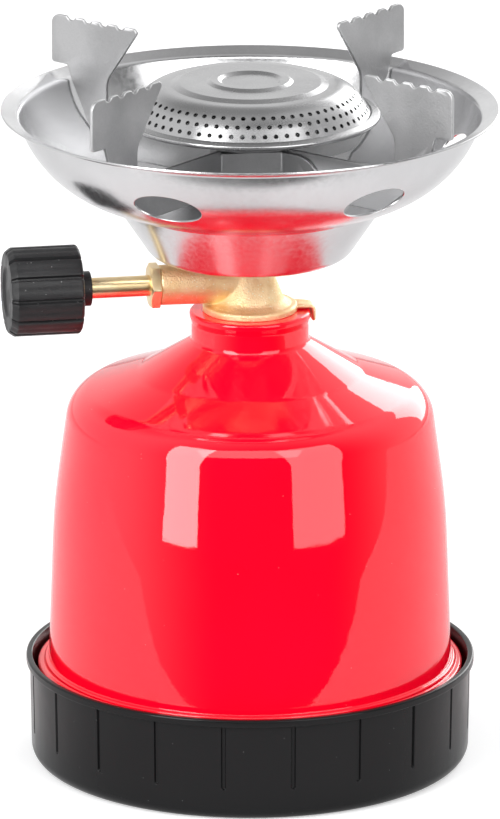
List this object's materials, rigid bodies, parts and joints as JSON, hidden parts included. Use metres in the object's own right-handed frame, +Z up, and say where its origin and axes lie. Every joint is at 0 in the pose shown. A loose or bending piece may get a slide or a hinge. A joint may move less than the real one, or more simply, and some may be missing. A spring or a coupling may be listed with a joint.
{
  "type": "camping gas stove",
  "caption": "Upright camping stove on a pierceable gas cartridge, with a chromed wind dish, folded pan supports and a side knob.",
  "frame": {"origin": "middle of the base cup's underside, on the ground", "axes": "+Z up through the cartridge and burner, -X along the valve spindle to the knob"},
  "size_m": [0.1236, 0.1236, 0.1823],
  "materials": {
    "cup_black": "glossy moulded black plastic",
    "knob_black": "satin moulded black plastic",
    "red_paint": "glossy red enamel on drawn steel",
    "can_paint": "plain pale lacquer on drawn steel",
    "brass_cast": "sand-blasted cast brass",
    "brass_turned": "turned bright brass",
    "chrome": "polished chrome plate on drawn steel",
    "support_steel": "satin sheet steel with bright cut edges",
    "burner_steel": "satin pressed steel",
    "zinc_steel": "zinc-plated steel",
    "seal_rubber": "black rubber"
  },
  "bodies": {
    "base": {"base_cup": "cup_black"},
    "cartridge": {"gas_cartridge": "can_paint"},
    "stove": {"shell": "red_paint", "valve_body": "brass_cast", "needle_holder": "brass_turned", "piercing_needle": "zinc_steel", "needle_seal": "seal_rubber", "neck_washer": "zinc_steel", "neck_nut": "zinc_steel", "gland_nut": "brass_turned", "jet": "brass_turned", "bowl": "chrome", "support_front": "support_steel", "support_right": "support_steel", "support_back": "support_steel", "support_left": "support_steel", "burner_tube": "zinc_steel", "burner_pan": "burner_steel", "tube_nut": "zinc_steel", "burner_cap": "burner_steel"},
    "valve_control": {"valve_spindle": "brass_turned", "spindle_o_ring": "seal_rubber", "knob": "knob_black"}
  },
  "joints": [
    {"name": "base_screw", "type": "hinge", "parent": "base", "child": "cartridge", "pos_m": [0, 0, 0], "axis": [0, 0, 1], "range_deg": [0, 720]},
    {"name": "top_rise", "type": "slide", "parent": "cartridge", "child": "stove", "axis": [0, 0, 1], "range_m": [0, 0.01]},
    {"name": "knob_turn", "type": "hinge", "parent": "stove", "child": "valve_control", "pos_m": [-0.0403, 0, 0.1234], "axis": [-1, 0, 0], "range_deg": [0, 540]}
  ],
  "couplings": [
    {"joint": "top_rise", "follows": "base_screw", "m_per_rad": 0.0007957}
  ]
}
